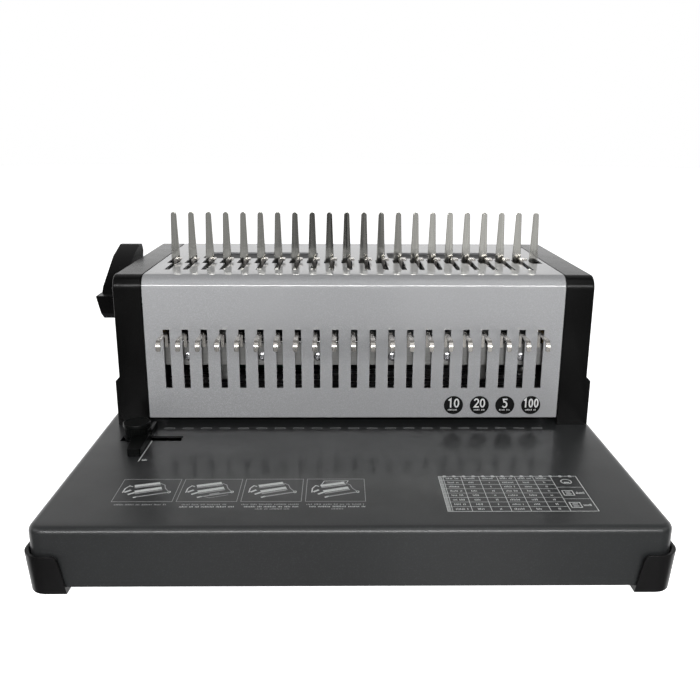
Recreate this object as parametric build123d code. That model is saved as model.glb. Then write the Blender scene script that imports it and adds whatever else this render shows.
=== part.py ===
"""Electric-punch comb binding machine, one STEP per piece, millimetres.

Bench frame used while drawing: X to the right from the middle of the comb row, Y to the back from
the housing's front plane, Z up from the surface the machine stands on. Every piece is moved by
-ORIGIN when it is written, so that the exported origin is the middle of the footprint.
"""
import os
from math import acos, cos, pi, radians, sin, tan

from build123d import *

# ---- driving dimensions: the comb standard ----
PITCH = 14.2875            # 9/16 inch between plastic comb rings
RINGS = 21                 # rings on an A4 comb
PIN_W, PIN_D = 8.0, 3.0    # the punched hole
RUN = 0.05                 # clearance of a running fit, each side
GAP = 0.3                  # clearance between parts that only pass each other

# ---- tray and feet ----
SHEET = 1.5
TRAY_W, TRAY_X = 381.8, -3.7
TRAY_FRONT, TRAY_BACK = -167.0, 179.0
TRAY_BOTTOM, TRAY_TOP = 3.9, 42.0
TRAY_CORNER, TRAY_EDGE = 10.0, 4.5
FOOT_GAP, FOOT_WALL = 1.6, 2.0
FOOT_TOP, FOOT_LX, FOOT_LY = 25.3, 20.0, 27.0
FOOT_TAPER, POCKET_TAPER, FOOT_SPREAD = 2.0, 1.2, 4.0

# ---- housing ----
HALF_PANEL = 159.3         # half width of the silver cover
SEAM = 0.9
SIDE_X = 181.2             # outer face of a side cover
FLARE, FLARE_Z = 2.8, 81.0
HOUSING_TOP, HOUSING_BACK = 160.0, 178.0
BEND, BACK_BEND = 10.0, 3.0
PANEL_BOTTOM = 48.2
REAR_SHEET_Y, REAR_FACE = 176.0, 177.5
LIP_Z = 146.0
WINDOW_X, WINDOW_Y, WINDOW_W, WINDOW_D, WINDOW_R = 79.0, 103.0, 97.0, 34.0, 5.0
FRAME_IN, FRAME_OUT = 152.8, 155.3
FRAME_TOP = 150.0

# ---- front slots and hooks ----
SLOT_W, SLOT_Z0, SLOT_Z1 = 4.9, 72.3, 119.0
HOOK_T, HOOK_W, HOOK_TIP_W = 1.6, 2.6, 3.4
HOOK_SHIFT = -0.8
HOOK_TOP, HOOK_TIP, HOOK_FOOT = 116.8, 108.8, 104.2
HOOK_BEND, HOOK_HEEL, HOOK_ROUND = 5.5, 3.0, 1.1
HOOK_REACH = -26.0
PLATE_Y0, PLATE_Y1 = 4.5, 6.5
PLATE_Z0, PLATE_Z1 = 90.0, 107.0
SCREW_SLOTS = (1, 5, 8, 12, 15, 19)

# ---- tines and top hooks ----
TINE_SHIFT = 1.86
TINE_Y0, TINE_T = 75.5, 2.0
TINE_TOP, TINE_FOOT = 200.0, 143.0
TINE_BASE_W, TINE_TIP_W = 7.0, 4.6
TINE_BAR_SCREW = (81.0, 147.0)
TOP_SLOT_FRONT, TOP_SLOT_MID, TOP_SLOT_BACK = 29.5, 61.0, 78.3
TOP_HOOK_Y0, TOP_HOOK_Y1 = 64.0, 71.0
TOP_HOOK_Z = 163.4

# ---- gearing ----
MODULE = 1.25
PRESSURE = radians(20)
BACKLASH = 0.2
LEVER_TEETH, ECC_TEETH, DRIVE_TEETH = 20, 36, 18
LEVER_Y, LEVER_Z = 58.0, 128.0
LEVER_R = MODULE * LEVER_TEETH / 2
LEVER_ANGLE = 120.0
TRAVEL = LEVER_R * radians(LEVER_ANGLE)
PINION_X0, PINION_X1 = 157.0, 168.0
FRONT_RACK_X, TOP_RACK_X, RACK_T = 157.5, 164.0, 3.0
FRONT_STUDS = (112.0, 122.0)
TOP_STUDS = (60.0, 69.0)
STUD_R = 2.0

# ---- punch ----
PIN_Y = 34.0
DIE_Y0, DIE_Y1 = 22.0, 46.0
DIE_Z0 = 36.0
GUIDE_Z0, GUIDE_Z1 = 46.6, 56.6
BAR_Z0, BAR_Z1 = 65.2, 75.2
ECC_Z, ECC_E, ECC_DISC_R = 100.0, 4.0, 12.0
ECC_SHAFT_R = 6.0
YOKE_X, YOKE_T = 100.0, 8.0
YOKE_PLAY_Y, YOKE_PLAY_Z = 0.3, 1.2
MESH_ANGLE = radians(-20)
GEAR_X0, GEAR_W = 134.0, 10.0
GEAR_DISTANCE = MODULE * (ECC_TEETH + DRIVE_TEETH) / 2
DRIVE_Y = PIN_Y + GEAR_DISTANCE * cos(MESH_ANGLE)
DRIVE_Z = ECC_Z + GEAR_DISTANCE * sin(MESH_ANGLE)

# ---- edge guide ----
SLIT_X0, SLIT_X1, SLIT_Y0, SLIT_Y1 = -174.2, -129.0, -33.3, -23.4
KNOB_X, KNOB_Y, KNOB_R, KNOB_TOP = -162.2, -28.35, 10.0, 55.5
GUIDE_RIGHT, GUIDE_FRONT, GUIDE_BACK, GUIDE_TOP = -152.0, -62.8, -8.0, 47.8

# ---- lever ----
LEVER_X0, LEVER_X1, LEVER_STEP = -204.0, -186.0, 0.8

# ---- waste drawer ----
DRAWER_X0, DRAWER_Y0, DRAWER_Y1, DRAWER_Z0, DRAWER_Z1 = -150.0, 14.0, 56.0, 9.0, 33.0

# ---- electrics ----
INLET_X, SWITCH_X, INLET_Z = -118.0, -78.0, 74.0
ROCKER_DEPTH, ROCKER_PIN_R = 3.0, 1.2
BUTTON_Y, BUTTON_Z, BUTTON_R = 118.0, 112.0, 8.0
GEARBOX_X0, GEARBOX_X1, GEARBOX_Y0, GEARBOX_Y1 = 62.0, 118.0, 56.4, 114.0
GEARBOX_Z0, GEARBOX_Z1 = 62.0, 112.0
MOTOR_Y, MOTOR_Z, MOTOR_R = 88.0, 87.0, 24.0

ORIGIN = Vector(-6.6, 6.0, 0)   # middle of the footprint in the bench frame

X_AXIS, Y_AXIS, Z_AXIS = (1, 0, 0), (0, 1, 0), (0, 0, 1)


# ---------------------------------------------------------------- helpers
def block(x0, x1, y0, y1, z0, z1):
    """A box between two corners."""
    return Pos((x0 + x1) / 2, (y0 + y1) / 2, (z0 + z1) / 2) * Box(abs(x1 - x0), abs(y1 - y0), abs(z1 - z0))


def rod(radius, start, axis, length):
    """A cylinder from a start point along an axis."""
    plane = Plane(origin=start, z_dir=axis)
    return extrude(plane * Circle(radius), length)


def join(pieces):
    """One solid from pieces that touch or overlap."""
    pieces = list(pieces)
    return pieces[0].fuse(*pieces[1:]).clean()


def cut(body, tools):
    """Cut several tools from a body at once."""
    return body.cut(*list(tools))


def yz_face(points):
    """A face in the YZ plane from (y, z) corners."""
    return make_face(Polyline(*[(0, y, z) for y, z in points], close=True))


def yz_plate(points, x0, x1):
    """A YZ outline made solid between two X places."""
    return extrude(Pos(x0, 0, 0) * yz_face(points), x1 - x0, dir=X_AXIS)


def ring_x(i):
    """X of front slot i, 0 at the left."""
    return (i - (RINGS - 1) / 2) * PITCH


def tine_x(j):
    """X of tine j, 0 at the left; tines stand between the front slots."""
    return (j - RINGS / 2) * PITCH + TINE_SHIFT


def involute(a):
    return tan(a) - a


def gear(teeth, phase, centre, x0, width, bore):
    """Spur gear about an X axis; phase is the angle of one tooth, from +Y towards +Z."""
    pitch_r = MODULE * teeth / 2
    base_r = pitch_r * cos(PRESSURE)
    tip_r = pitch_r + 0.95 * MODULE
    root_r = pitch_r - 1.25 * MODULE
    half = pi / (2 * teeth) - BACKLASH / (4 * pitch_r) + involute(PRESSURE)
    radii = [base_r + (tip_r - base_r) * k / 5 for k in range(6)]
    flank = [(root_r, half)] + [(r, half - involute(acos(base_r / r))) for r in radii]
    points = []
    for k in range(teeth):
        middle = phase + 2 * pi * k / teeth
        rise = [(r, middle - a) for r, a in flank]
        fall = [(r, middle + a) for r, a in reversed(flank)]
        points += [(centre[0] + r * cos(a), centre[1] + r * sin(a)) for r, a in rise + fall]
    body = yz_plate(points, x0, x0 + width)
    return body - rod(bore, (x0 - 1, centre[0], centre[1]), X_AXIS, width + 2)


def rack_teeth(middle, before, after):
    """Points (along, depth) of rack teeth; a gap is centred at middle, depth 0 is the pitch line."""
    pitch = pi * MODULE
    half = pitch / 4 - BACKLASH / 4
    tip, root = 0.95 * MODULE, -1.25 * MODULE
    slope = tan(PRESSURE)
    points = []
    for k in range(-before, after):
        c = middle + (k + 0.5) * pitch
        points += [(c - half + root * slope, root), (c - half + tip * slope, tip)]
        points += [(c + half - tip * slope, tip), (c + half - root * slope, root)]
    return points


def screw(start, axis, length, head_r=3.4, head_h=1.8, shank_r=2.0):
    """A pan-head screw; start is the face under the head, axis points into the work."""
    back = tuple(-a for a in axis)
    return join([rod(shank_r, start, axis, length), rod(head_r, start, back, head_h)])


def tray_outline(grow, z0, z1):
    """The tray's plan outline grown by some distance, as a solid."""
    depth = TRAY_BACK - TRAY_FRONT + 2 * grow
    middle = (TRAY_FRONT + TRAY_BACK) / 2
    sketch = Pos(TRAY_X, middle, z0) * RectangleRounded(TRAY_W + 2 * grow, depth, TRAY_CORNER + grow)
    return extrude(sketch, z1 - z0)


# ---------------------------------------------------------------- tray, base and feet
def make_tray():
    outer = tray_outline(0, TRAY_BOTTOM, TRAY_TOP)
    outer = fillet(outer.faces().sort_by(Axis.Z)[-1].edges(), TRAY_EDGE)
    inner = tray_outline(-SHEET, TRAY_BOTTOM - 1, TRAY_TOP - SHEET)
    inner = fillet(inner.faces().sort_by(Axis.Z)[-1].edges(), TRAY_EDGE - SHEET)
    right = TRAY_X + TRAY_W / 2
    window_x = FRAME_OUT + 2.1
    window = block(-window_x, window_x, DIE_Y0, DIE_Y1 + 4, TRAY_TOP - 5, TRAY_TOP + 5)
    slit = block(SLIT_X0, SLIT_X1, SLIT_Y0, SLIT_Y1, TRAY_TOP - 5, TRAY_TOP + 5)
    drawer = block(right - 5, right + 5, DRAWER_Y0 - 2, DRAWER_Y1 + 2, DRAWER_Z0 - 2, DRAWER_Z1 + 2)
    body = cut(outer, [inner, window, slit, drawer])
    y0, z0 = REAR_SHEET_Y - SHEET, TRAY_TOP - SHEET
    upstand = block(-HALF_PANEL, HALF_PANEL, y0, REAR_SHEET_Y, z0, TRAY_TOP + 12)
    holes = [rod(2.0, (x, REAR_SHEET_Y - 4, z), Y_AXIS, 5) for x, z in rear_screw_places() if z < 100]
    holes += [rod(2.0, (x, y, TRAY_TOP - 5), Z_AXIS, 8) for x, y in flange_screw_places()]
    return cut(join([body, upstand]), holes)


def foot_centres():
    """Screw places of the four feet with the signs of their corner."""
    for sy, name_y in ((-1, "front"), (1, "rear")):
        for sx, name_x in ((-1, "left"), (1, "right")):
            x = TRAY_X + sx * (TRAY_W / 2 - 11)
            y = TRAY_FRONT + 12 if sy < 0 else TRAY_BACK - 12
            yield sx, sy, x, y, f"{name_y}_{name_x}"


def drafted_outline(grow, taper, z0, z1):
    """The tray's outline as a solid whose walls lean out by the taper from z0 to z1."""
    sketches = []
    for z, g in ((z0, grow - taper), (z1, grow)):
        depth = TRAY_BACK - TRAY_FRONT + 2 * g
        outline = RectangleRounded(TRAY_W + 2 * g, depth, TRAY_CORNER + g)
        sketches.append(Pos(TRAY_X, (TRAY_FRONT + TRAY_BACK) / 2, z) * outline)
    return loft(sketches)


def make_foot(sx, sy, x, y):
    """A cap that wraps one corner of the tray and carries it on the floor."""
    corner_x = TRAY_X + sx * (TRAY_W / 2 + FOOT_GAP + FOOT_WALL)
    corner_y = TRAY_FRONT - FOOT_GAP - FOOT_WALL if sy < 0 else TRAY_BACK + FOOT_GAP + FOOT_WALL
    shell = drafted_outline(FOOT_GAP + FOOT_WALL, FOOT_TAPER, 0, FOOT_TOP)
    shell = shell - drafted_outline(FOOT_GAP, POCKET_TAPER, TRAY_BOTTOM, FOOT_TOP + 0.5)
    end_x = corner_x - sx * (FOOT_LX + FOOT_WALL)
    end_y = corner_y - sy * (FOOT_LY + FOOT_WALL)
    low_x, low_y = end_x - sx * FOOT_SPREAD, end_y - sy * FOOT_SPREAD
    side_zone = [(corner_x + sx, 0), (low_x, 0), (end_x, FOOT_TOP), (corner_x + sx, FOOT_TOP)]
    face_zone = [(corner_y + sy, 0), (low_y, 0), (end_y, FOOT_TOP), (corner_y + sy, FOOT_TOP)]
    span = max(TRAY_W, TRAY_BACK - TRAY_FRONT)
    side_outline = make_face(Polyline(*[(px, -span, pz) for px, pz in side_zone], close=True))
    foot = shell & extrude(side_outline, 2 * span, dir=Y_AXIS)
    foot = foot & yz_plate(face_zone, -span, span)
    soft = 4.5
    side_edges = foot.edges().filter_by(Axis.Y).filter_by_position(Axis.Z, FOOT_TOP - 0.1, FOOT_TOP + 0.1)
    foot = fillet(side_edges.sort_by(Axis.X)[0 if sx > 0 else -1], soft)
    face_edges = foot.edges().filter_by(Axis.X).filter_by_position(Axis.Z, FOOT_TOP - 0.1, FOOT_TOP + 0.1)
    foot = fillet(face_edges.sort_by(Axis.Y)[0 if sy > 0 else -1], soft)
    return cut(foot, [rod(2.0, (x, y, -1), Z_AXIS, 6), rod(4.2, (x, y, -1), Z_AXIS, 3.2)])


def make_base():
    """Flat sheet that closes the tray from below, and the screws that hold the feet to it."""
    base = tray_outline(-SHEET, TRAY_BOTTOM, TRAY_BOTTOM + SHEET)
    screws = []
    for _, _, x, y, _ in foot_centres():
        base = base - rod(2.0, (x, y, 0), Z_AXIS, 10)
        screws.append(screw((x, y, 2.2), Z_AXIS, 6.0, head_r=3.8))
    return base, screws


# ---------------------------------------------------------------- covers
def quarter_arc(y, z, radius, way):
    """Quarter round in the YZ plane about (y, z), between +Z and way (+1 back, -1 front)."""
    diagonal = radius * cos(pi / 4)
    middle = (0, y + way * diagonal, z + diagonal)
    return ThreePointArc((0, y, z + radius), middle, (0, y + way * radius, z))


def housing_profile(inset):
    """Side outline of the housing, front and top joined by the large bend."""
    y0, y1 = inset, HOUSING_BACK - inset
    z0, z1 = TRAY_TOP + 0.2, HOUSING_TOP - inset
    r, back_r = BEND - inset, BACK_BEND - inset
    edges = [
        Line((0, y0, z0), (0, y0, z1 - r)),
        quarter_arc(y0 + r, z1 - r, r, -1),
        Line((0, y0 + r, z1), (0, y1 - back_r, z1)),
        quarter_arc(y1 - back_r, z1 - back_r, back_r, 1),
        Line((0, y1, z1 - back_r), (0, y1, z0)),
        Line((0, y1, z0), (0, y0, z0)),
    ]
    return make_face(edges)


def top_cutters():
    """Openings in the silver cover for the tines and for the hooks in front of them."""
    z0, z1 = HOUSING_TOP - 4, HOUSING_TOP + 2
    cutters = []
    for j in range(RINGS + 1):
        x = tine_x(j)
        cutters.append(block(x - 4.4, x + 4.4, TOP_SLOT_MID, TOP_SLOT_BACK, z0, z1))
        if j < RINGS:
            cutters.append(block(x, x + 4.2, TOP_SLOT_FRONT, TOP_SLOT_MID + 1, z0, z1))
    for side in (-1, 1):
        window = Pos(side * WINDOW_X, WINDOW_Y, z0) * RectangleRounded(WINDOW_W, WINDOW_D, WINDOW_R)
        cutters.append(extrude(window, z1 - z0))
    return cutters


def make_main_cover():
    """One bent sheet: the slotted front, the large bend, the slotted top and a short rear lip."""
    top, inner = HOUSING_TOP, HOUSING_TOP - SHEET
    edges = [
        Line((0, 0, PANEL_BOTTOM), (0, 0, top - BEND)),
        quarter_arc(BEND, top - BEND, BEND, -1),
        Line((0, BEND, top), (0, REAR_SHEET_Y, top)),
        Line((0, REAR_SHEET_Y, top), (0, REAR_SHEET_Y, LIP_Z)),
        Line((0, REAR_SHEET_Y, LIP_Z), (0, REAR_SHEET_Y - SHEET, LIP_Z)),
        Line((0, REAR_SHEET_Y - SHEET, LIP_Z), (0, REAR_SHEET_Y - SHEET, inner)),
        Line((0, REAR_SHEET_Y - SHEET, inner), (0, BEND, inner)),
        quarter_arc(BEND, top - BEND, BEND - SHEET, -1),
        Line((0, SHEET, top - BEND), (0, SHEET, PANEL_BOTTOM)),
        Line((0, SHEET, PANEL_BOTTOM), (0, 0, PANEL_BOTTOM)),
    ]
    body = extrude(Pos(-HALF_PANEL, 0, 0) * make_face(edges), 2 * HALF_PANEL, dir=X_AXIS)
    holes = [rod(2.0, (x, REAR_SHEET_Y - 4, z), Y_AXIS, 5) for x, z in rear_screw_places() if z > 100]
    slots = []
    for i in range(RINGS):
        x = ring_x(i)
        slots.append(block(x - SLOT_W / 2, x + SLOT_W / 2, -3, 4, SLOT_Z0, SLOT_Z1))
    return cut(body, holes + slots + top_cutters())


def make_side_cover(side):
    """Hollow end cover, open towards the mechanism, with a skirt that flares a little lower down."""
    inner_x, outer_x = HALF_PANEL + SEAM, SIDE_X
    outer = extrude(Pos(side * inner_x, 0, 0) * housing_profile(0), outer_x - inner_x, dir=(side, 0, 0))
    rim = outer.faces().sort_by(Axis.X)[0 if side < 0 else -1].edges()
    rim = rim.filter_by_position(Axis.Z, FLARE_Z, HOUSING_TOP + 1)
    outer = fillet(rim, 1.5)
    low_x = outer_x + FLARE
    skirt = block(side * (outer_x - 4), side * low_x, 0, HOUSING_BACK, TRAY_TOP + 0.2, FLARE_Z - 3)
    inside, ramp_z = outer_x - 4, FLARE_Z - 3
    ramp_points = [(inside, ramp_z), (low_x, ramp_z), (outer_x, FLARE_Z), (inside, FLARE_Z)]
    ramp_face = make_face(Polyline(*[(side * x, 0, z) for x, z in ramp_points], close=True))
    ramp = extrude(ramp_face, HOUSING_BACK, dir=Y_AXIS)
    wall = 2.0
    start, depth = side * (inner_x - 1), outer_x - wall - inner_x + 1
    hollow = extrude(Pos(start, 0, 0) * housing_profile(wall), depth, dir=(side, 0, 0))
    floor_cut = block(start, side * (outer_x - wall), wall, HOUSING_BACK - wall, 0, TRAY_TOP + 5)
    body = cut(join([outer, skirt, ramp]), [hollow, floor_cut])
    if side < 0:
        return body - rod(5.6, (-SIDE_X - 6, LEVER_Y, LEVER_Z), X_AXIS, 12)
    return body - rod(BUTTON_R + 1.5, (SIDE_X - 6, BUTTON_Y, BUTTON_Z), X_AXIS, 12)


def rear_screw_places():
    return [(x, z) for x in (-150, 0, 150) for z in (48, 152)]


def make_rear_cover():
    """Rear sheet with cooling slots and cut-outs for the mains inlet and the switch."""
    y0, y1 = REAR_SHEET_Y, REAR_FACE
    cover = block(-HALF_PANEL, HALF_PANEL, y0, y1, TRAY_TOP, HOUSING_TOP - 0.5)
    tools = [block(INLET_X - 14, INLET_X + 14, y0 - 2, y1 + 2, INLET_Z - 10, INLET_Z + 10)]
    tools.append(block(SWITCH_X - 7, SWITCH_X + 7, y0 - 2, y1 + 2, INLET_Z - 10, INLET_Z + 10))
    for x in (10, 60, 110):
        for row in range(6):
            z = 80 + 9 * row
            slot = Pos(x, y0 - 1, z) * (Rot(90, 0, 0) * SlotOverall(38, 3.2))
            tools.append(extrude(slot, 4, dir=Y_AXIS))
    for x, z in rear_screw_places():
        tools.append(rod(2.0, (x, y0 - 1, z), Y_AXIS, 5))
    return cut(cover, tools)


def make_inlay(side):
    """Shallow dark inlay seen through a window in the top of the cover."""
    thick = 1.9
    outline = RectangleRounded(WINDOW_W + 6, WINDOW_D + 5, WINDOW_R + 2)
    return extrude(Pos(side * WINDOW_X, WINDOW_Y, HOUSING_TOP - SHEET - thick) * outline, thick)


# ---------------------------------------------------------------- frame and die
def make_side_frame(side):
    """Steel end plate that carries the dies, shafts and racks."""
    notch_y0, notch_y1, notch_z = TINE_Y0 - 1, TINE_Y0 + TINE_T, TINE_FOOT - GAP
    points = [
        (DIE_Y0, DIE_Z0), (DIE_Y1, DIE_Z0), (DIE_Y1, TRAY_TOP), (165, TRAY_TOP), (165, 128),
        (135, FRAME_TOP), (notch_y1, FRAME_TOP), (notch_y1, notch_z), (notch_y0, notch_z),
        (notch_y0, FRAME_TOP), (24, FRAME_TOP), (14, 140), (14, 60), (DIE_Y0, 52),
    ]
    x0, x1 = sorted((side * FRAME_IN, side * FRAME_OUT))
    plate = yz_plate(points, x0, x1)
    flange = block(side * (FRAME_IN - 12), side * FRAME_IN, 60, 160, TRAY_TOP, TRAY_TOP + 2.5)
    body = join([plate, flange])
    start = x0 - 1
    tools = [
        rod(8.0, (start, PIN_Y, ECC_Z), X_AXIS, 5),
        rod(7.0, (start, LEVER_Y, LEVER_Z), X_AXIS, 5),
    ]
    for y, z in die_screw_places():
        tools.append(rod(2.0, (start, y, z), X_AXIS, 5))
    for z in FRONT_STUDS:
        tools.append(rod(STUD_R, (start, 32, z), X_AXIS, 5))
    for y in TOP_STUDS:
        tools.append(rod(STUD_R, (start, y, 146), X_AXIS, 5))
    for x, y in flange_screw_places():
        tools.append(rod(2.0, (x, y, TRAY_TOP - 3), Z_AXIS, 8))
    return cut(body, tools)


def die_screw_places():
    return [(26.0, 39.0), (42.0, 39.0), (26.0, 51.6), (42.0, 51.6), TINE_BAR_SCREW]


def flange_screw_places():
    return [(side * (FRAME_IN - 6), y) for side in (-1, 1) for y in (75, 145)]


def pin_cutters(z0, z1, play):
    """Rectangular cutters for the punch pins."""
    cutters = []
    for i in range(RINGS):
        x = ring_x(i)
        half_x, half_y = PIN_W / 2 + play, PIN_D / 2 + play
        cutters.append(block(x - half_x, x + half_x, PIN_Y - half_y, PIN_Y + half_y, z0, z1))
    return cutters


def end_bores(z):
    """Screw holes in both ends of a die bar."""
    tools = []
    for y in (26.0, 42.0):
        tools.append(rod(2.0, (-FRAME_IN - 1, y, z), X_AXIS, 9))
        tools.append(rod(2.0, (FRAME_IN - 8, y, z), X_AXIS, 9))
    return tools


def make_lower_die():
    die = block(-FRAME_IN, FRAME_IN, DIE_Y0 + 0.4, DIE_Y1, DIE_Z0, TRAY_TOP)
    return cut(die, pin_cutters(DIE_Z0 - 1, TRAY_TOP + 1, RUN) + end_bores(39.0))


def make_punch_guide():
    bar = block(-FRAME_IN, FRAME_IN, DIE_Y0, DIE_Y1, GUIDE_Z0, GUIDE_Z1)
    return cut(bar, pin_cutters(GUIDE_Z0 - 1, GUIDE_Z1 + 1, RUN) + end_bores(51.6))


def make_tine_bar():
    bar = block(-FRAME_IN, FRAME_IN, TINE_Y0 + TINE_T, TINE_Y0 + TINE_T + 6, TINE_FOOT, TINE_FOOT + 12)
    return cut(bar, [rod(2.0, (x, *TINE_BAR_SCREW), X_AXIS, 9) for x in (-FRAME_IN - 1, FRAME_IN - 8)])


def make_tine(j):
    """Flat upright finger, tapered from just above the cover, with a round tip."""
    x = tine_x(j)
    base, tip = TINE_BASE_W / 2, TINE_TIP_W / 2
    lower = HOUSING_TOP + 2
    top = TINE_TOP - tip
    edges = [
        Line((x - base, 0, TINE_FOOT), (x + base, 0, TINE_FOOT)),
        Line((x + base, 0, TINE_FOOT), (x + base, 0, lower)),
        Line((x + base, 0, lower), (x + tip, 0, top)),
        ThreePointArc((x + tip, 0, top), (x, 0, TINE_TOP), (x - tip, 0, top)),
        Line((x - tip, 0, top), (x - base, 0, lower)),
        Line((x - base, 0, lower), (x - base, 0, TINE_FOOT)),
    ]
    return extrude(Pos(0, TINE_Y0, 0) * make_face(edges), TINE_T, dir=Y_AXIS)


def make_bushes():
    """Flanged plain bushes in both end plates, for the eccentric shaft and the lever shaft."""
    bushes = []
    for side in (-1, 1):
        for y, z, bore, outer in ((PIN_Y, ECC_Z, ECC_SHAFT_R, 8.0), (LEVER_Y, LEVER_Z, 5.0, 7.0)):
            start = (side * (FRAME_IN - 2), y, z)
            way = (side, 0, 0)
            body = join([rod(outer, start, way, 5.5), rod(outer + 2.5, start, way, 2.0)])
            bushes.append(body - rod(bore + RUN, (side * (FRAME_IN - 3), y, z), way, 8))
    return bushes


def make_frame_screws():
    """Screws that hold the bars between the end plates, and the end plates to the tray."""
    screws = []
    for side in (-1, 1):
        for y, z in die_screw_places():
            screws.append(screw((side * FRAME_OUT, y, z), (-side, 0, 0), 8.0, head_h=1.5))
    screws += [screw((x, y, TRAY_TOP + 2.5), (0, 0, -1), 6.0) for x, y in flange_screw_places()]
    return screws


# ---------------------------------------------------------------- punch and drive
def make_punch_bar():
    bar = block(-148, 148, 26, 42, BAR_Z0, BAR_Z1)
    return cut(bar, pin_cutters(BAR_Z0 - 1, BAR_Z1 + 1, 0))


def make_pins():
    """The punches, from just inside the guide bar to the top of the punch bar."""
    y0, y1 = PIN_Y - PIN_D / 2, PIN_Y + PIN_D / 2
    centres = [ring_x(i) for i in range(RINGS)]
    return [block(x - PIN_W / 2, x + PIN_W / 2, y0, y1, GUIDE_Z0 + 0.2, BAR_Z1) for x in centres]


def make_yokes():
    """Upright plates on the punch bar; each has a window that an eccentric disc moves up and down."""
    centre = ECC_Z + ECC_E
    half_y = ECC_DISC_R + ECC_E + YOKE_PLAY_Y
    half_z = ECC_DISC_R + YOKE_PLAY_Z
    yokes = []
    for side in (-1, 1):
        x0, x1 = side * YOKE_X - YOKE_T / 2, side * YOKE_X + YOKE_T / 2
        y0, y1, z0, z1 = PIN_Y - half_y, PIN_Y + half_y, centre - half_z, centre + half_z
        outer = block(x0, x1, y0 - 4, y1 + 4, BAR_Z1, z1 + 4)
        yokes.append(outer - block(x0 - 1, x1 + 1, y0, y1, z0, z1))
    return yokes


def make_discs():
    discs = []
    for side in (-1, 1):
        x0 = side * YOKE_X - YOKE_T / 2
        disc = rod(ECC_DISC_R, (x0, PIN_Y, ECC_Z + ECC_E), X_AXIS, YOKE_T)
        discs.append(disc - rod(ECC_SHAFT_R, (x0 - 1, PIN_Y, ECC_Z), X_AXIS, YOKE_T + 2))
    return discs


def make_gearbox():
    """Gear case with a bearing boss for the output shaft and lid screws."""
    case = block(GEARBOX_X0, GEARBOX_X1 - 4, GEARBOX_Y0, GEARBOX_Y1, GEARBOX_Z0, GEARBOX_Z1)
    case = fillet(case.edges().filter_by(Axis.X), 6)
    boss = rod(8.5, (GEARBOX_X1 - 4, DRIVE_Y, DRIVE_Z), X_AXIS, 4)
    body = join([case, boss])
    return body - rod(5.0 + RUN, (GEARBOX_X1 - 24, DRIVE_Y, DRIVE_Z), X_AXIS, 30)


def make_motor():
    can = rod(MOTOR_R, (GEARBOX_X0 - 92, MOTOR_Y, MOTOR_Z), X_AXIS, 92)
    can = fillet(can.edges().sort_by(Axis.X)[0], 4)
    cap = rod(9, (GEARBOX_X0 - 98, MOTOR_Y, MOTOR_Z), X_AXIS, 6)
    vents = []
    for k in range(8):
        angle = 2 * pi * k / 8
        y, z = MOTOR_Y + 17 * cos(angle), MOTOR_Z + 17 * sin(angle)
        vents.append(rod(2.2, (GEARBOX_X0 - 93, y, z), X_AXIS, 6))
    return cut(join([can, cap]), vents)


def make_motor_mount():
    """Folded bracket under the gear case."""
    y0, y1, thick = GEARBOX_Y0 + 4, GEARBOX_Y1 - 4, 2.5
    outer = block(GEARBOX_X0 + 2, GEARBOX_X1 - 6, y0, y1, TRAY_TOP, GEARBOX_Z0)
    return outer - block(GEARBOX_X0, GEARBOX_X1, y0 + thick, y1 - thick, TRAY_TOP - 1, GEARBOX_Z0 - thick)


def make_output_shaft():
    return rod(5.0, (GEARBOX_X1 - 22, DRIVE_Y, DRIVE_Z), X_AXIS, GEAR_X0 + GEAR_W + 2 - GEARBOX_X1 + 22)


def make_control_board():
    """Mains board on stand-offs, with its transformer, relays and capacitors."""
    z = 51.0
    board = block(-130, -42, 112, 165, z, z + 1.6)
    parts = [
        block(-126, -98, 118, 146, z + 1.6, z + 25),
        block(-92, -76, 120, 134, z + 1.6, z + 16),
        block(-72, -56, 120, 134, z + 1.6, z + 16),
        rod(6, (-86, 152, z + 1.6), Z_AXIS, 18),
        rod(6, (-70, 152, z + 1.6), Z_AXIS, 18),
        block(-58, -46, 142, 160, z + 1.6, z + 10),
    ]
    posts = [rod(3, (x, y, TRAY_TOP), Z_AXIS, z - TRAY_TOP) for x in (-125, -47) for y in (117, 160)]
    return join([board] + parts + posts)


# ---------------------------------------------------------------- comb opener
def make_lever_shaft():
    return rod(5.0, (-196, LEVER_Y, LEVER_Z), X_AXIS, 196 + PINION_X1)


def make_lever_pinions():
    pinions = []
    for side in (-1, 1):
        x0 = PINION_X0 if side > 0 else -PINION_X1
        pinions.append(gear(LEVER_TEETH, 0, (LEVER_Y, LEVER_Z), x0, PINION_X1 - PINION_X0, 5.0))
    return pinions


def lever_outline():
    """Side outline of the lever: a square heel in front of the pivot and an arm up and back."""
    return [
        (34, 124), (34, 137.6), (47, 138), (51, 142.5), (86, 161.8), (110, 168.6), (117, 168.2),
        (121, 162), (118, 154.5), (76, 134), (69, 121.5), (64, 119.4), (38, 119.4),
    ]


def make_lever():
    arm = yz_plate(lever_outline(), LEVER_X0 + LEVER_STEP, LEVER_X1)
    heel = yz_plate([(33, 124), (33, 138), (48, 138), (48, 119.4), (37, 119.4)], LEVER_X0, LEVER_X1)
    arm = join([arm, heel])
    bevel = [(LEVER_X0, 0, 137), (LEVER_X0 + 5, 0, 115), (LEVER_X0, 0, 115)]
    arm = arm - extrude(make_face(Polyline(*bevel, close=True)), 80, dir=Y_AXIS)
    rounding = arm.edges().filter_by(Axis.X).filter_by_position(Axis.Y, 105, 125)
    arm = fillet(rounding, 2.4)
    boss = rod(11, (LEVER_X1, LEVER_Y, LEVER_Z), X_AXIS, 3)
    body = join([arm, boss])
    bore = rod(5.0, (-196, LEVER_Y, LEVER_Z), X_AXIS, 20)
    screw_hole = rod(2.0, (-200, LEVER_Y, LEVER_Z), X_AXIS, 5)
    seat = rod(7.0, (-206, LEVER_Y, LEVER_Z), X_AXIS, 6.0)
    return cut(body, [bore, screw_hole, seat])


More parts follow.
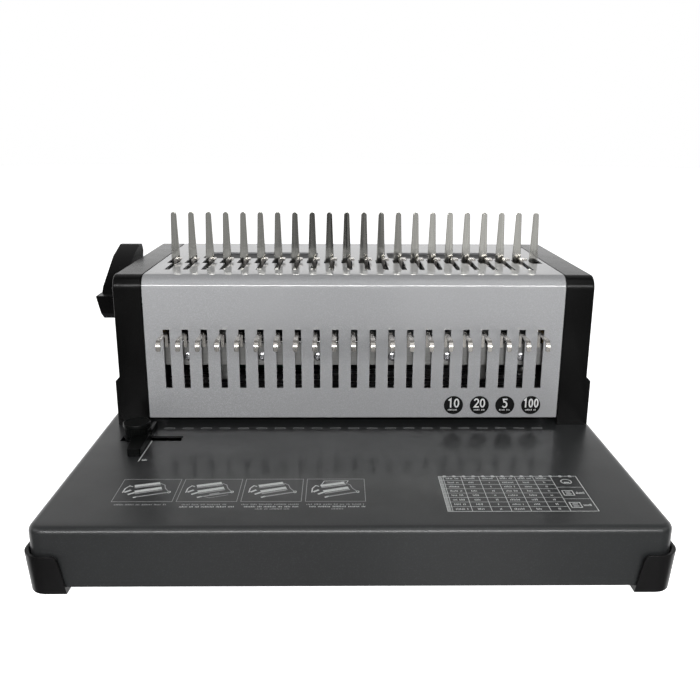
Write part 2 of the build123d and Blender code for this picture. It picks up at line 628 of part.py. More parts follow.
def bend_points(y, z, radius, start, end):
    """Points of a quarter bend in YZ about a centre, angles in degrees from the back."""
    steps = 6
    angles = [radians(start + (end - start) * k / steps) for k in range(steps + 1)]
    return [(y + radius * cos(a), z + radius * sin(a)) for a in angles]


def make_front_hook(i):
    """Strip that rises behind a slot, comes forward through it and turns down at its end."""
    x = ring_x(i) + HOOK_SHIFT
    back, front = PLATE_Y0, HOOK_REACH
    heel = (back - HOOK_HEEL, HOOK_TOP - HOOK_HEEL)
    nose = (front + HOOK_BEND, HOOK_TOP - HOOK_BEND)
    points = [(back, HOOK_FOOT)]
    points += bend_points(*heel, HOOK_HEEL, 0, 90)
    points += bend_points(*nose, HOOK_BEND, 90, 180)
    points += [(front, HOOK_TIP), (front + HOOK_T, HOOK_TIP)]
    points += bend_points(*nose, HOOK_BEND - HOOK_T, 180, 90)
    points += bend_points(*heel, HOOK_HEEL - HOOK_T, 90, 0)
    points.append((back - HOOK_T, HOOK_FOOT))
    strip = yz_plate(points, x - HOOK_TIP_W / 2, x + HOOK_TIP_W / 2)
    tip_edges = strip.edges().filter_by(Axis.Y).filter_by_position(Axis.Z, HOOK_TIP - 0.1, HOOK_TIP + 0.1)
    strip = fillet(tip_edges, HOOK_ROUND)
    y0, y1, z0, z1 = front + 12, back + 1, HOOK_FOOT - 1, HOOK_TOP + 1
    return cut(strip, [block(x + s * HOOK_W / 2, x + s * HOOK_TIP_W, y0, y1, z0, z1) for s in (-1, 1)])


def make_front_hook_plate():
    half = FRONT_RACK_X + RACK_T
    plate = block(-half, half, PLATE_Y0, PLATE_Y1, PLATE_Z0, PLATE_Z1)
    stiffener = block(-150, 150, PLATE_Y1, PLATE_Y1 + 2, PLATE_Z0 + 2, PLATE_Z0 + 8)
    holes = [rod(1.7, (ring_x(i) + 0.9, 0, 96.5), Y_AXIS, 12) for i in SCREW_SLOTS]
    return cut(join([plate, stiffener]), holes)


def make_front_rack(side):
    """Vertical rack plate, slotted for two guide studs, joined to the end of the hook plate."""
    pitch_y = LEVER_Y - LEVER_R
    teeth = rack_teeth(LEVER_Z, 3, 7)
    edge = [(pitch_y + depth, z) for z, depth in teeth]
    root = pitch_y - 1.25 * MODULE
    top = edge[-1][1]
    points = edge + [(root, top + 1), (26, top + 1), (26, 104), (PLATE_Y1, 104), (PLATE_Y1, 92), (root, 92)]
    x0 = FRONT_RACK_X if side > 0 else -FRONT_RACK_X - RACK_T
    plate = yz_plate(points, x0, x0 + RACK_T)
    low, high = FRONT_STUDS[0] - STUD_R - 0.4, FRONT_STUDS[1] + TRAVEL + STUD_R + 0.4
    slot = block(x0 - 1, x0 + RACK_T + 1, 32 - STUD_R - RUN, 32 + STUD_R + RUN, low, high)
    return plate - slot


def make_top_hook_bar():
    half = TOP_RACK_X + RACK_T
    return block(-half, half, 60, 72, 152, 154)


def make_top_hook(j):
    """Small formed tooth: an upright that ends in a head turned to the right."""
    x = tine_x(j) + 0.7
    top = TOP_HOOK_Z
    points = [
        (x, 154), (x + 2.6, 154), (x + 2.6, top - 1.9), (x + 5.7, top - 1.9),
        (x + 5.7, top - 0.5), (x + 5.2, top), (x + 1.2, top), (x, top - 1.2),
    ]
    face = make_face(Polyline(*[(px, TOP_HOOK_Y0, pz) for px, pz in points], close=True))
    return extrude(face, TOP_HOOK_Y1 - TOP_HOOK_Y0, dir=Y_AXIS)


def make_top_rack(side):
    """Level rack plate under the end of the hook bar, slotted for two guide studs."""
    pitch_z = LEVER_Z + LEVER_R
    teeth = rack_teeth(LEVER_Y, 3, 8)
    edge = [(y, pitch_z - depth) for y, depth in teeth]
    front, back = edge[0][0] - 1, TOP_STUDS[1] + TRAVEL + STUD_R + 4
    root = pitch_z + 1.25 * MODULE
    points = edge + [(back, root), (back, 152), (front, 152), (front, root)]
    x0 = TOP_RACK_X if side > 0 else -TOP_RACK_X - RACK_T
    plate = yz_plate(points, x0, x0 + RACK_T)
    low, high = TOP_STUDS[0] - STUD_R - 0.4, TOP_STUDS[1] + TRAVEL + STUD_R + 0.4
    slot = block(x0 - 1, x0 + RACK_T + 1, low, high, 146 - STUD_R - RUN, 146 + STUD_R + RUN)
    return plate - slot


def make_studs():
    studs = []
    for side in (-1, 1):
        way = (side, 0, 0)
        for z in FRONT_STUDS:
            reach = FRONT_RACK_X + RACK_T + GAP
            shank = rod(STUD_R, (side * FRAME_IN, 32, z), way, reach - FRAME_IN)
            studs.append(join([shank, rod(3.6, (side * reach, 32, z), way, 1.2)]))
        for y in TOP_STUDS:
            reach = TOP_RACK_X + RACK_T + GAP
            shank = rod(STUD_R, (side * FRAME_IN, y, 146), way, reach - FRAME_IN)
            studs.append(join([shank, rod(3.6, (side * reach, y, 146), way, 1.2)]))
    return studs


# ---------------------------------------------------------------- edge guide
def make_edge_guide():
    z0 = TRAY_TOP + GAP
    plan = [
        (GUIDE_RIGHT, GUIDE_FRONT), (GUIDE_RIGHT, GUIDE_BACK), (GUIDE_RIGHT - 3.2, GUIDE_BACK),
        (GUIDE_RIGHT - 3.2, -22), (-164.2, -34), (-161.2, GUIDE_FRONT),
    ]
    bar = extrude(make_face(Polyline(*[(x, y, z0) for x, y in plan], close=True)), GUIDE_TOP - z0)
    bar = fillet(bar.edges().filter_by(Axis.Z).filter_by_position(Axis.Y, -64, -60), 1.2)
    knob_room = rod(KNOB_R + 0.4, (KNOB_X, KNOB_Y, 44.3), Z_AXIS, 10)
    seat = rod(KNOB_R - 0.5, (KNOB_X, KNOB_Y, z0), Z_AXIS, 44.3 - z0)
    body = join([bar - knob_room, seat])
    return body - rod(2.5 + RUN, (KNOB_X, KNOB_Y, 40), Z_AXIS, 10)


def make_edge_slider():
    """Nut block that runs in the slit and clamps under the tray."""
    half = (SLIT_Y1 - SLIT_Y0) / 2 - GAP
    neck = block(KNOB_X - 5, KNOB_X + 5, KNOB_Y - half, KNOB_Y + half, 40, TRAY_TOP + GAP)
    plate = block(KNOB_X - 8, KNOB_X + 8, KNOB_Y - 9, KNOB_Y + 9, 36, TRAY_TOP - SHEET - GAP)
    return join([neck, plate]) - rod(2.5 + RUN, (KNOB_X, KNOB_Y, 34), Z_AXIS, 12)


def make_edge_knob():
    cap = rod(KNOB_R, (KNOB_X, KNOB_Y, 44.6), Z_AXIS, KNOB_TOP - 44.6)
    cap = fillet(cap.edges().sort_by(Axis.Z)[-1], 1.2)
    return join([cap, rod(2.5, (KNOB_X, KNOB_Y, 34.5), Z_AXIS, 12)])


# ---------------------------------------------------------------- waste drawer
def make_drawer():
    right = TRAY_X + TRAY_W / 2
    tub = block(DRAWER_X0, right - 1.5, DRAWER_Y0, DRAWER_Y1, DRAWER_Z0, DRAWER_Z1)
    wall, rim = 1.5, 1.6
    floor_z, y0, y1 = DRAWER_Z0 + wall, DRAWER_Y0 + wall, DRAWER_Y1 - wall
    hollow = block(DRAWER_X0 + wall, right - 2 * wall, y0, y1, floor_z, DRAWER_Z1 + 1)
    face = block(right - wall, right, DRAWER_Y0 - rim, DRAWER_Y1 + rim, DRAWER_Z0 - rim, DRAWER_Z1 + rim)
    pull = block(right, right + 3, 25, 45, 19, 21.5)
    return cut(join([tub, face, pull]), [hollow])


def make_drawer_rails():
    """Folded guides on the base plate, one along each side of the drawer."""
    floor_z = TRAY_BOTTOM + SHEET
    rails = []
    for edge, out in ((DRAWER_Y0, -1), (DRAWER_Y1, 1)):
        wall = block(DRAWER_X0, 180, edge + out * 2.3, edge + out * GAP, floor_z, 26)
        ledge = block(DRAWER_X0, 180, edge + out * GAP, edge - out * 3, floor_z, DRAWER_Z0 - GAP)
        rails.append(join([wall, ledge]))
    return rails


# ---------------------------------------------------------------- electrics
def make_inlet():
    """Three-pin appliance inlet with its flange on the outside of the rear sheet."""
    face = REAR_FACE
    flange = block(INLET_X - 19, INLET_X + 19, face, face + 2.5, INLET_Z - 12, INLET_Z + 12)
    body = block(INLET_X - 13.8, INLET_X + 13.8, face - 22, face, INLET_Z - 9.8, INLET_Z + 9.8)
    well = block(INLET_X - 11.5, INLET_X + 11.5, face - 14, face + 4, INLET_Z - 7.5, INLET_Z + 7.5)
    pins = []
    for dx, dz in ((-7, -1.5), (0, 2.5), (7, -1.5)):
        x, z = INLET_X + dx, INLET_Z + dz
        pins.append(block(x - 1, x + 1, face - 14, face + 0.5, z - 2, z + 2))
    return join([join([flange, body]) - well] + pins)


def make_switch():
    """Body and bezel of the mains switch, with bores for the rocker's pivot."""
    face = REAR_FACE
    bezel = block(SWITCH_X - 9, SWITCH_X + 9, face, face + 1.8, INLET_Z - 12, INLET_Z + 12)
    body = block(SWITCH_X - 6.8, SWITCH_X + 6.8, face - 16, face, INLET_Z - 9.8, INLET_Z + 9.8)
    well = block(SWITCH_X - 5.6, SWITCH_X + 5.6, face - 11, face + 3, INLET_Z - 9, INLET_Z + 9)
    pivot = rod(ROCKER_PIN_R + RUN, (SWITCH_X - 6.5, face - ROCKER_DEPTH, INLET_Z), X_AXIS, 13.0)
    return cut(join([bezel, body]), [well, pivot])


def make_rocker():
    """Rocker paddle with a pivot pin that runs in the sides of the switch body."""
    face = REAR_FACE
    half = 7.4
    points = [
        (face - 4.6, INLET_Z - half), (face + 2.6, INLET_Z - half), (face - 0.2, INLET_Z),
        (face + 0.6, INLET_Z + half), (face - 4.6, INLET_Z + half),
    ]
    paddle = yz_plate(points, SWITCH_X - 5.2, SWITCH_X + 5.2)
    pin = rod(ROCKER_PIN_R, (SWITCH_X - 6.4, face - ROCKER_DEPTH, INLET_Z), X_AXIS, 12.8)
    return join([paddle, pin])


def make_button():
    face = SIDE_X
    cap = rod(BUTTON_R, (face - 7, BUTTON_Y, BUTTON_Z), X_AXIS, 9.5)
    return fillet(cap.edges().sort_by(Axis.X)[-1], 1.0)


def make_button_bezel():
    face = SIDE_X
    ring = rod(BUTTON_R + 3.5, (face, BUTTON_Y, BUTTON_Z), X_AXIS, 1.6)
    sleeve = rod(BUTTON_R + 1.5, (face - 12, BUTTON_Y, BUTTON_Z), X_AXIS, 12)
    body = join([ring, sleeve])
    return body - rod(BUTTON_R + GAP, (face - 10.5, BUTTON_Y, BUTTON_Z), X_AXIS, 15)


# ---------------------------------------------------------------- assembly
def make_all():
    base, foot_screws = make_base()
    pieces = {
        "tray": make_tray(),
        "base_plate": base,
        "foot_screws": foot_screws,
        "main_cover": make_main_cover(),
        "side_cover_left": make_side_cover(-1),
        "side_cover_right": make_side_cover(1),
        "rear_cover": make_rear_cover(),
        "rear_cover_screws": [
            screw((x, REAR_FACE, z), (0, -1, 0), 6.0, head_h=1.6) for x, z in rear_screw_places()
        ],
        "top_inlay_left": make_inlay(-1),
        "top_inlay_right": make_inlay(1),
        "side_frame_left": make_side_frame(-1),
        "side_frame_right": make_side_frame(1),
        "frame_screws": make_frame_screws(),
        "shaft_bushes": make_bushes(),
        "lower_die": make_lower_die(),
        "punch_guide_bar": make_punch_guide(),
        "paper_back_stop": block(-150, 150, 38.5, DIE_Y1, TRAY_TOP, GUIDE_Z0),
        "paper_lip": block(-150, 150, 2.0, DIE_Y0, GUIDE_Z0 + 0.4, PANEL_BOTTOM),
        "tine_bar": make_tine_bar(),
        "opening_tines": [make_tine(j) for j in range(RINGS + 1)],
        "punch_bar": make_punch_bar(),
        "punch_yokes": make_yokes(),
        "punch_pins": make_pins(),
        "eccentric_shaft": rod(ECC_SHAFT_R, (-157, PIN_Y, ECC_Z), X_AXIS, 314),
        "eccentric_discs": make_discs(),
        "eccentric_gear": gear(ECC_TEETH, 0, (PIN_Y, ECC_Z), GEAR_X0, GEAR_W, ECC_SHAFT_R),
        "motor_mount": make_motor_mount(),
        "motor_gearbox": make_gearbox(),
        "motor": make_motor(),
        "output_shaft": make_output_shaft(),
        "drive_pinion": gear(DRIVE_TEETH, radians(10), (DRIVE_Y, DRIVE_Z), GEAR_X0, GEAR_W, 5.0),
        "control_board": make_control_board(),
        "lever_shaft": make_lever_shaft(),
        "lever_pinions": make_lever_pinions(),
        "lever_handle": make_lever(),
        "lever_screw": screw((-200, LEVER_Y, LEVER_Z), X_AXIS, 4.0, head_r=3.6),
        "lever_cap": rod(7.0, (-203.4, LEVER_Y, LEVER_Z), X_AXIS, 1.4),
        "front_hook_plate": make_front_hook_plate(),
        "front_hooks": [make_front_hook(i) for i in range(RINGS)],
        "front_hook_screws": [
            screw((ring_x(i) + 0.9, PLATE_Y0, 96.5), Y_AXIS, 5.0, head_r=3.2, head_h=1.4, shank_r=1.7)
            for i in SCREW_SLOTS
        ],
        "front_racks": [make_front_rack(-1), make_front_rack(1)],
        "top_hook_bar": make_top_hook_bar(),
        "top_hooks": [make_top_hook(j) for j in range(RINGS)],
        "top_racks": [make_top_rack(-1), make_top_rack(1)],
        "rack_guide_studs": make_studs(),
        "edge_guide": make_edge_guide(),
        "edge_guide_slider": make_edge_slider(),
        "edge_knob": make_edge_knob(),
        "waste_drawer": make_drawer(),
        "drawer_rails": make_drawer_rails(),
        "power_inlet": make_inlet(),
        "power_switch": make_switch(),
        "power_rocker": make_rocker(),
        "punch_button": make_button(),
        "button_bezel": make_button_bezel(),
    }
    for sx, sy, x, y, name in foot_centres():
        pieces[f"corner_foot_{name}"] = make_foot(sx, sy, x, y)
    return pieces


def write(pieces):
    """Move every piece into the exported frame and write one STEP file for each node."""
    os.makedirs("parts", exist_ok=True)
    shift = Location(ORIGIN * -1)
    for name, shape in pieces.items():
        solids = []
        for item in shape if isinstance(shape, list) else [shape]:
            solids += [shift * solid for solid in item.solids()]
        whole = solids[0] if len(solids) == 1 else Compound(children=solids)
        whole.label = name
        export_step(whole, f"parts/{name}.step")


write(make_all())
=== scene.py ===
"""Looks of a comb binding machine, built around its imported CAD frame.

Everything is in metres and in the frame's own axes: X to the right, Y to the back, Z up, floor at 0.
Positions are worked out from the CAD nodes' boxes; lengths given in millimetres go through mm().
"""
import math
import random

import bmesh
import bpy
from mathutils import Matrix, Vector


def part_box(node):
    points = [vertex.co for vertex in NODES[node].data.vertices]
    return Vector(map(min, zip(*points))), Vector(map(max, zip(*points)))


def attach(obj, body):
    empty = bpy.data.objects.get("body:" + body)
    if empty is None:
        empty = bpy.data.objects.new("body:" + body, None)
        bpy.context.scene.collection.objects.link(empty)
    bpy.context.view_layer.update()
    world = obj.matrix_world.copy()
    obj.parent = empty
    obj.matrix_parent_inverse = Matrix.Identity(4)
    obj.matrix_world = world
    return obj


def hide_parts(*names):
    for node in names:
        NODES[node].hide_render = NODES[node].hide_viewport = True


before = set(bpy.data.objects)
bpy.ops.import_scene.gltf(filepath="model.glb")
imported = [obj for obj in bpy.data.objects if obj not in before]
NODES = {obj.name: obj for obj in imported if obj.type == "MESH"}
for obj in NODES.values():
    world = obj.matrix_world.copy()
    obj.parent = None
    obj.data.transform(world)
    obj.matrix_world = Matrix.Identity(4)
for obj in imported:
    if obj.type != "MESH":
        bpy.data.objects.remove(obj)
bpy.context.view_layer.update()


def mm(value):
    """Millimetres to metres."""
    return value / 1000.0


# ---------------------------------------------------------------- places read from the frame
COVER_LOW, COVER_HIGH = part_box("main_cover")
MIDDLE_X = (COVER_LOW.x + COVER_HIGH.x) / 2
PANEL_Y = COVER_LOW.y
PANEL_BOTTOM = COVER_LOW.z
UPSTAND = mm(12)
TRAY_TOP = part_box("tray")[1].z - UPSTAND
RINGS = 21
PITCH = mm(14.2875)
PRINT_THICK = mm(0.04)
SHARP_ANGLE = math.radians(32)
FLAT_ANGLE = math.radians(0.6)
WELD_DISTANCE = 1e-6


def ring_x(i):
    """X of front slot i, 0 at the left."""
    return MIDDLE_X + (i - (RINGS - 1) / 2) * PITCH


# ---------------------------------------------------------------- materials
class Look:
    """A procedural material on one Principled shader, built up layer by layer in object coordinates."""

    def __init__(self, name, color, roughness, metallic=0.0, **sockets):
        self.mat = bpy.data.materials.new(name)
        self.mat.use_nodes = True
        self.tree = self.mat.node_tree
        self.shader = self.tree.nodes["Principled BSDF"]
        self.color, self.roughness = color, roughness
        self.shader.inputs["Base Color"].default_value = (*color, 1)
        self.shader.inputs["Roughness"].default_value = roughness
        self.shader.inputs["Metallic"].default_value = metallic
        for socket, value in sockets.items():
            self.shader.inputs[socket.replace("_", " ")].default_value = value
        self.coords = self.tree.nodes.new("ShaderNodeTexCoord").outputs["Object"]
        self.height = None

    def node(self, kind, **inputs):
        """A new node with its inputs set or linked."""
        made = self.tree.nodes.new(kind)
        for socket, value in inputs.items():
            target = made.inputs[socket.replace("_", " ")]
            if isinstance(value, bpy.types.NodeSocket):
                self.tree.links.new(value, target)
            else:
                target.default_value = value
        return made

    def noise(self, size, detail=2.0, stretch=(1, 1, 1)):
        """Noise with features of about the given size in metres, stretched along an axis if asked."""
        scale = [1.0 / (size * s) for s in stretch]
        mapped = self.node("ShaderNodeMapping", Vector=self.coords, Scale=scale)
        made = self.node("ShaderNodeTexNoise", Vector=mapped.outputs[0], Scale=1.0, Detail=detail)
        return made.outputs["Fac"]

    def cells(self, size):
        """One random grey for each cell of the given size."""
        made = self.node("ShaderNodeTexVoronoi", Vector=self.coords, Scale=1.0 / size)
        split = self.node("ShaderNodeSeparateColor", Color=made.outputs["Color"])
        return split.outputs[0]

    def ramp(self, source, low, high, to_low=0.0, to_high=1.0):
        """Spread the source's range from low to high over another range."""
        made = self.node("ShaderNodeMapRange", Value=source)
        limits = {"From Min": low, "From Max": high, "To Min": to_low, "To Max": to_high}
        for socket, value in limits.items():
            made.inputs[socket].default_value = value
        return made.outputs[0]

    def tint(self, source, other, low=0.35, high=0.65):
        """Blend the base colour towards another one where the source is high."""
        made = self.tree.nodes.new("ShaderNodeMix")
        made.data_type = "RGBA"
        self.tree.links.new(self.ramp(source, low, high), made.inputs[0])
        base = self.shader.inputs["Base Color"]
        if base.is_linked:
            self.tree.links.new(base.links[0].from_socket, made.inputs[6])
        else:
            made.inputs[6].default_value = (*self.color, 1)
        made.inputs[7].default_value = (*other, 1)
        self.tree.links.new(made.outputs[2], base)
        return self

    def vary_roughness(self, source, spread, low=0.3, high=0.7):
        """Let the roughness follow the source, a spread either way."""
        out = self.ramp(source, low, high, self.roughness - spread, self.roughness + spread)
        self.tree.links.new(out, self.shader.inputs["Roughness"])
        return self

    def bump(self, source, distance, strength):
        """Add the source as relief of a given depth on top of any relief before it."""
        made = self.node("ShaderNodeBump", Height=source, Strength=strength, Distance=distance)
        if self.height is not None:
            self.tree.links.new(self.height, made.inputs["Normal"])
        self.height = made.outputs["Normal"]
        self.tree.links.new(self.height, self.shader.inputs["Normal"])
        return self


def powder_paint(name, color, other, roughness, grain, depth, **sockets):
    """Textured paint: orange-peel grain, a fine speckle and a large soft change of tone."""
    look = Look(name, color, roughness, **sockets)
    look.tint(look.noise(mm(120), 2.0), other)
    look.tint(look.cells(grain * 0.7), [c * 1.35 for c in other], 0.72, 1.0)
    look.vary_roughness(look.noise(mm(35), 3.0), 0.04)
    look.bump(look.noise(grain, 3.0), depth, 0.35)
    return look.mat


def metallic_paint():
    """Silver paint with fine flakes under a thin clear coat."""
    base = (0.255, 0.258, 0.265)
    look = Look("silver_metallic_paint", base, 0.60, 0.10, Coat_Weight=0.9, Coat_Roughness=0.05)
    look.tint(look.cells(mm(0.45)), (0.340, 0.343, 0.354), 0.45, 1.0)
    look.tint(look.noise(mm(160), 2.0), (0.270, 0.272, 0.279))
    look.vary_roughness(look.cells(mm(0.7)), 0.05, 0.0, 1.0)
    look.bump(look.noise(mm(0.5), 2.0), mm(0.006), 0.2)
    return look.mat


def moulded_plastic(name, color, roughness, grain, depth, shine=0.25):
    """Moulded plastic with a spark-eroded grain and faint handling marks."""
    look = Look(name, color, roughness, IOR=1.48, Specular_IOR_Level=shine)
    look.tint(look.noise(mm(60), 3.0), [c * 1.3 + 0.002 for c in color])
    look.vary_roughness(look.noise(mm(14), 4.0), 0.015)
    look.bump(look.noise(grain, 3.0), depth, 0.4)
    return look.mat


def brushed_metal(name, color, roughness, stretch, depth=mm(0.012), anisotropic=0.4):
    """Metal with fine parallel scratches along one axis."""
    look = Look(name, color, roughness, 1.0, Anisotropic=anisotropic)
    lines = look.noise(mm(0.35), 4.0, stretch)
    look.tint(lines, [c * 0.82 for c in color], 0.4, 0.7)
    look.vary_roughness(look.noise(mm(1.2), 3.0, stretch), 0.05)
    look.bump(lines, depth, 0.35)
    return look.mat


def zinc_metal(name, color, roughness):
    """Bright zinc plate: cloudy tone and slight roughness patches."""
    look = Look(name, color, roughness, 1.0)
    look.tint(look.noise(mm(6), 4.0), [c * 0.8 for c in color])
    look.vary_roughness(look.noise(mm(2.5), 4.0), 0.06)
    look.bump(look.noise(mm(1.0), 3.0), mm(0.01), 0.3)
    return look.mat


def ink(name, color, shine=0.4):
    """Screen-printed ink, a little uneven."""
    look = Look(name, color, 0.55, Specular_IOR_Level=shine)
    look.tint(look.noise(mm(0.9), 3.0), [c * 0.8 for c in color])
    look.vary_roughness(look.noise(mm(3), 2.0), 0.05)
    look.bump(look.noise(mm(0.5), 2.0), mm(0.01), 0.3)
    return look.mat


def board_look():
    """Green circuit board with darker tracks."""
    look = Look("circuit_board", (0.02, 0.12, 0.05), 0.4)
    look.tint(look.cells(mm(4)), (0.01, 0.06, 0.03), 0.5, 0.6)
    look.vary_roughness(look.noise(mm(5), 3.0), 0.08)
    look.bump(look.cells(mm(4)), mm(0.05), 0.4)
    return look.mat


ALONG_X, ALONG_Z = (60, 1, 1), (1, 1, 60)
LOOKS = {
    "tray": powder_paint(
        "tray_charcoal_paint", (0.0165, 0.0170, 0.0176), (0.0175, 0.0188, 0.0193), 0.36, mm(0.8), mm(0.02),
        Coat_Weight=0.15, Coat_Roughness=0.12,
    ),
    "base": powder_paint(
        "base_black_paint", (0.018, 0.018, 0.019), (0.024, 0.024, 0.025), 0.50, mm(0.9), mm(0.04)
    ),
    "silver": metallic_paint(),
    "rear": powder_paint(
        "rear_black_paint", (0.020, 0.020, 0.021), (0.026, 0.026, 0.027), 0.48, mm(0.9), mm(0.04)
    ),
    "side": moulded_plastic("side_black_plastic", (0.0012, 0.0012, 0.0012), 0.26, mm(0.6), mm(0.006), 0.18),
    "foot": moulded_plastic("foot_black_plastic", (0.0040, 0.0038, 0.0040), 0.30, mm(0.7), mm(0.01)),
    "lever": moulded_plastic("lever_black_plastic", (0.0018, 0.0017, 0.0018), 0.26, mm(0.8), mm(0.006), 0.08),
    "knob": moulded_plastic("knob_black_plastic", (0.0018, 0.0021, 0.0020), 0.30, mm(0.6), mm(0.006), 0.1),
    "inlay": moulded_plastic("inlay_grey_plastic", (0.045, 0.046, 0.048), 0.55, mm(0.5), mm(0.01)),
    "strip": moulded_plastic("strip_black_plastic", (0.012, 0.012, 0.012), 0.55, mm(0.6), mm(0.03)),
    "drawer": moulded_plastic("drawer_black_plastic", (0.014, 0.014, 0.015), 0.42, mm(0.7), mm(0.03)),
    "switch": moulded_plastic("switch_black_plastic", (0.010, 0.010, 0.010), 0.25, mm(0.8), mm(0.01)),
    "button": moulded_plastic("button_green_plastic", (0.02, 0.16, 0.06), 0.28, mm(0.8), mm(0.01)),
    "tine": brushed_metal("tine_brushed_steel", (0.55, 0.545, 0.51), 0.15, ALONG_Z, mm(0.001), 0.0),
    "hook": brushed_metal("hook_polished_steel", (0.60, 0.575, 0.54), 0.24, ALONG_Z, mm(0.002), 0.0),
    "frame": brushed_metal("frame_zinc_steel", (0.42, 0.42, 0.41), 0.34, ALONG_X),
    "tool": brushed_metal("tool_ground_steel", (0.34, 0.34, 0.345), 0.26, ALONG_X),
    "screw": zinc_metal("screw_zinc", (0.70, 0.70, 0.72), 0.22),
    "bush": zinc_metal("bush_bronze", (0.55, 0.38, 0.16), 0.35),
    "alloy": zinc_metal("gearbox_cast_alloy", (0.50, 0.50, 0.51), 0.45),
    "motor": powder_paint(
        "motor_grey_enamel", (0.16, 0.17, 0.18), (0.19, 0.20, 0.21), 0.35, mm(1.0), mm(0.03)
    ),
    "board": board_look(),
    "white_ink": ink("print_white_ink", (0.60, 0.62, 0.61)),
    "mid_ink": ink("print_mid_ink", (0.33, 0.335, 0.335)),
    "black_ink": ink("print_black_ink", (0.003, 0.003, 0.003), 0.15),
    "disc_ink": ink("print_disc_ink", (0.66, 0.66, 0.66)),
}

NODE_LOOK = {
    "tray": ["tray"],
    "base": ["base_plate"],
    "silver": ["main_cover"],
    "rear": ["rear_cover"],
    "side": ["side_cover_left", "side_cover_right"],
    "foot": [n for n in NODES if n.startswith("corner_foot")],
    "lever": ["lever_handle", "lever_cap"],
    "knob": ["edge_guide", "edge_guide_slider", "edge_knob"],
    "inlay": ["top_inlay_left", "top_inlay_right"],
    "strip": ["paper_back_stop", "paper_lip"],
    "drawer": ["waste_drawer"],
    "switch": ["power_inlet", "power_switch", "power_rocker", "button_bezel"],
    "button": ["punch_button"],
    "tine": ["opening_tines"],
    "hook": ["front_hooks", "top_hooks"],
    "frame": [
        "side_frame_left", "side_frame_right", "tine_bar", "punch_yokes", "eccentric_gear", "motor_mount",
        "lever_pinions", "front_hook_plate", "front_racks", "top_hook_bar", "top_racks", "drawer_rails",
    ],
    "tool": [
        "lower_die", "punch_guide_bar", "punch_bar", "punch_pins", "eccentric_shaft", "eccentric_discs",
        "output_shaft", "drive_pinion", "lever_shaft",
    ],
    "screw": [
        "foot_screws", "rear_cover_screws", "frame_screws", "lever_screw", "front_hook_screws",
        "rack_guide_studs",
    ],
    "bush": ["shaft_bushes"],
    "alloy": ["motor_gearbox"],
    "motor": ["motor"],
    "board": ["control_board"],
}

# Rounding of the visible edges, in millimetres.
EDGE_WIDTH = {
    "tray": 0.4, "base": 0.3, "silver": 0.3, "rear": 0.3, "side": 0.5, "foot": 0.5, "lever": 1.2, "knob": 0.5,
    "inlay": 0.2, "strip": 0.2, "drawer": 0.4, "switch": 0.4, "button": 0.3, "tine": 0.3, "hook": 0.35,
}


def soften(obj, width):
    """Weld the shell, join its flat faces and round its edges, all by modifiers."""
    weld = obj.modifiers.new("weld", "WELD")
    weld.merge_threshold = WELD_DISTANCE
    flat = obj.modifiers.new("flat", "DECIMATE")
    flat.decimate_type = "DISSOLVE"
    flat.angle_limit = FLAT_ANGLE
    bevel = obj.modifiers.new("edge", "BEVEL")
    bevel.width = mm(width)
    bevel.segments = 2
    bevel.limit_method = "ANGLE"
    bevel.angle_limit = SHARP_ANGLE
    bevel.harden_normals = True


def shade_by_angle(mesh):
    """Smooth shading with sharp edges above the sharp angle."""
    custom = mesh.attributes.get("custom_normal")
    if custom:
        mesh.attributes.remove(custom)
    for polygon in mesh.polygons:
        polygon.use_smooth = True
    mesh.set_sharp_from_angle(angle=SHARP_ANGLE)


def dress_frame():
    """Give every CAD node its material, and soften the edges of those that can be seen."""
    for look, names in NODE_LOOK.items():
        for name in names:
            obj = NODES[name]
            obj.data.materials.clear()
            obj.data.materials.append(LOOKS[look])
            shade_by_angle(obj.data)
            if look in EDGE_WIDTH:
                soften(obj, EDGE_WIDTH[look])


# ---------------------------------------------------------------- mesh helpers
def new_object(name, build, material, body):
    """A mesh object filled by build(bmesh), with clean outward normals, riding on a CAD body."""
    mesh = bpy.data.meshes.new(name)
    work = bmesh.new()
    build(work)
    bmesh.ops.recalc_face_normals(work, faces=work.faces)
    work.to_mesh(mesh)
    work.free()
    shade_by_angle(mesh)
    obj = bpy.data.objects.new(name, mesh)
    bpy.context.scene.collection.objects.link(obj)
    mesh.materials.append(material)
    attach(obj, body)
    return obj


def lathe(work, place, profile, segments, shape=None):
    """Turn a profile of (radius, height) points; shape may move a point before it is placed."""
    rings = []
    for radius, height in profile:
        count = segments if radius > 0 else 1
        ring = []
        for k in range(count):
            angle = 2 * math.pi * k / segments
            point = Vector((radius * math.cos(angle), radius * math.sin(angle), height))
            ring.append(work.verts.new(place @ (shape(point) if shape else point)))
        rings.append(ring)
    for low, high in zip(rings, rings[1:]):
        for k in range(segments):
            n = (k + 1) % segments
            corners = (low[k % len(low)], low[n % len(low)], high[n % len(high)], high[k % len(high)])
            unique = list(dict.fromkeys(corners))
            if len(unique) > 2:
                work.faces.new(unique)


def facing(position, axis):
    """A matrix whose Z points along axis at a position."""
    turn = Vector(axis).to_track_quat("Z", "Y").to_matrix().to_4x4()
    return Matrix.Translation(position) @ turn


WORD_GAP = 1.1


